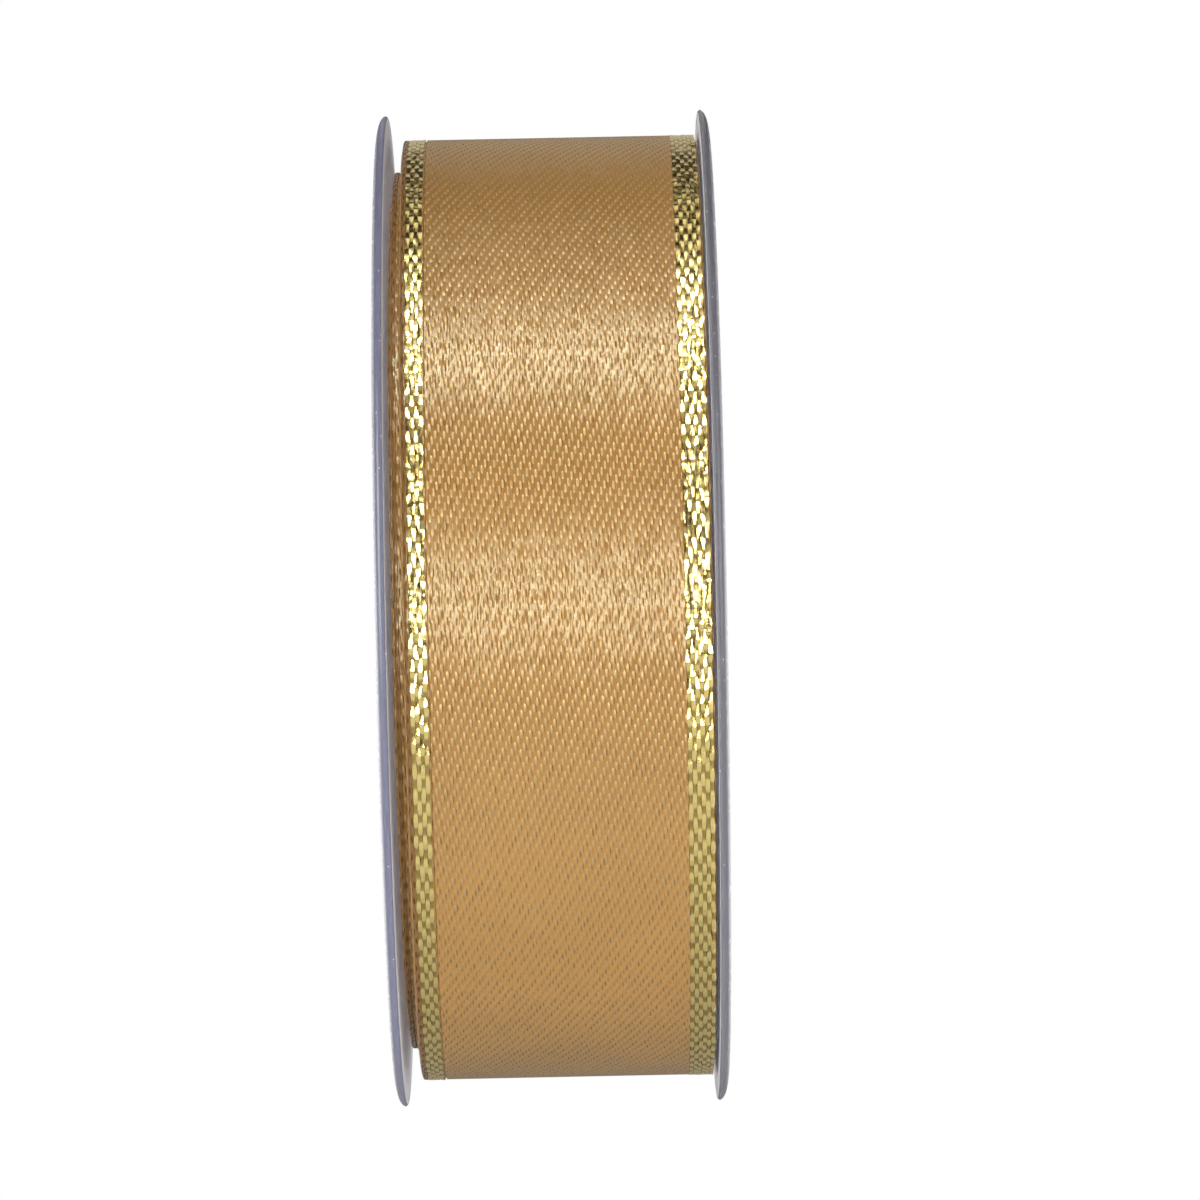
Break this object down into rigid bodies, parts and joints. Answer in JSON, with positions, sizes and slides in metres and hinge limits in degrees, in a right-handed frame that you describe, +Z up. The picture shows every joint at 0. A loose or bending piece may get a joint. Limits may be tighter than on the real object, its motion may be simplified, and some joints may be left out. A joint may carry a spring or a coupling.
{
  "type": "ribbon spool",
  "caption": "Spool of gold-edged satin ribbon on a snap-together clear plastic reel: the wound core turns between the flanges, and the taped free end lifts.",
  "frame": {"origin": "middle of the spool's axis, half way between the outer faces of the flanges", "axes": "X along the spool's axis, from the left flange to the right one; +Z up as the spool stands on its rims; -Y towards the viewer, so the free end of the ribbon is on the +Y side"},
  "size_m": [0.0286, 0.0858, 0.0858],
  "materials": {
    "clear_blue_plastic": "translucent injection-moulded polystyrene with a faint blue-lavender tint, lightly scuffed",
    "clear_grey_plastic": "translucent injection-moulded polystyrene with a greyer lavender tint, lightly scuffed",
    "core_card": "spirally wound brown card, uncoated",
    "satin": "golden-tan polyester satin, silky, with fine slanting weave lines",
    "gold_yarn": "bright gold metallised film yarn in a coarse basket weave",
    "clear_tape": "thin clear adhesive tape"
  },
  "bodies": {
    "reel": {"left_flange": "clear_blue_plastic", "right_flange": "clear_grey_plastic"},
    "winding": {"core_tube": "core_card", "start_tape": "clear_tape", "ribbon_winding": "satin", "outer_turn_satin": "satin", "outer_turn_gold_edge_left": "gold_yarn", "outer_turn_gold_edge_right": "gold_yarn"},
    "tail": {"tail_satin": "satin", "tail_gold_edge_left": "gold_yarn", "tail_gold_edge_right": "gold_yarn", "tail_tape": "clear_tape"}
  },
  "joints": [
    {"name": "winding_spin", "type": "hinge", "parent": "reel", "child": "winding", "pos_m": [0, 0, 0], "axis": [1, 0, 0], "continuous": true},
    {"name": "tail_lift", "type": "hinge", "parent": "winding", "child": "tail", "pos_m": [0, 0.02095, 0.03487], "axis": [1, 0, 0], "range_deg": [0, 80]}
  ]
}
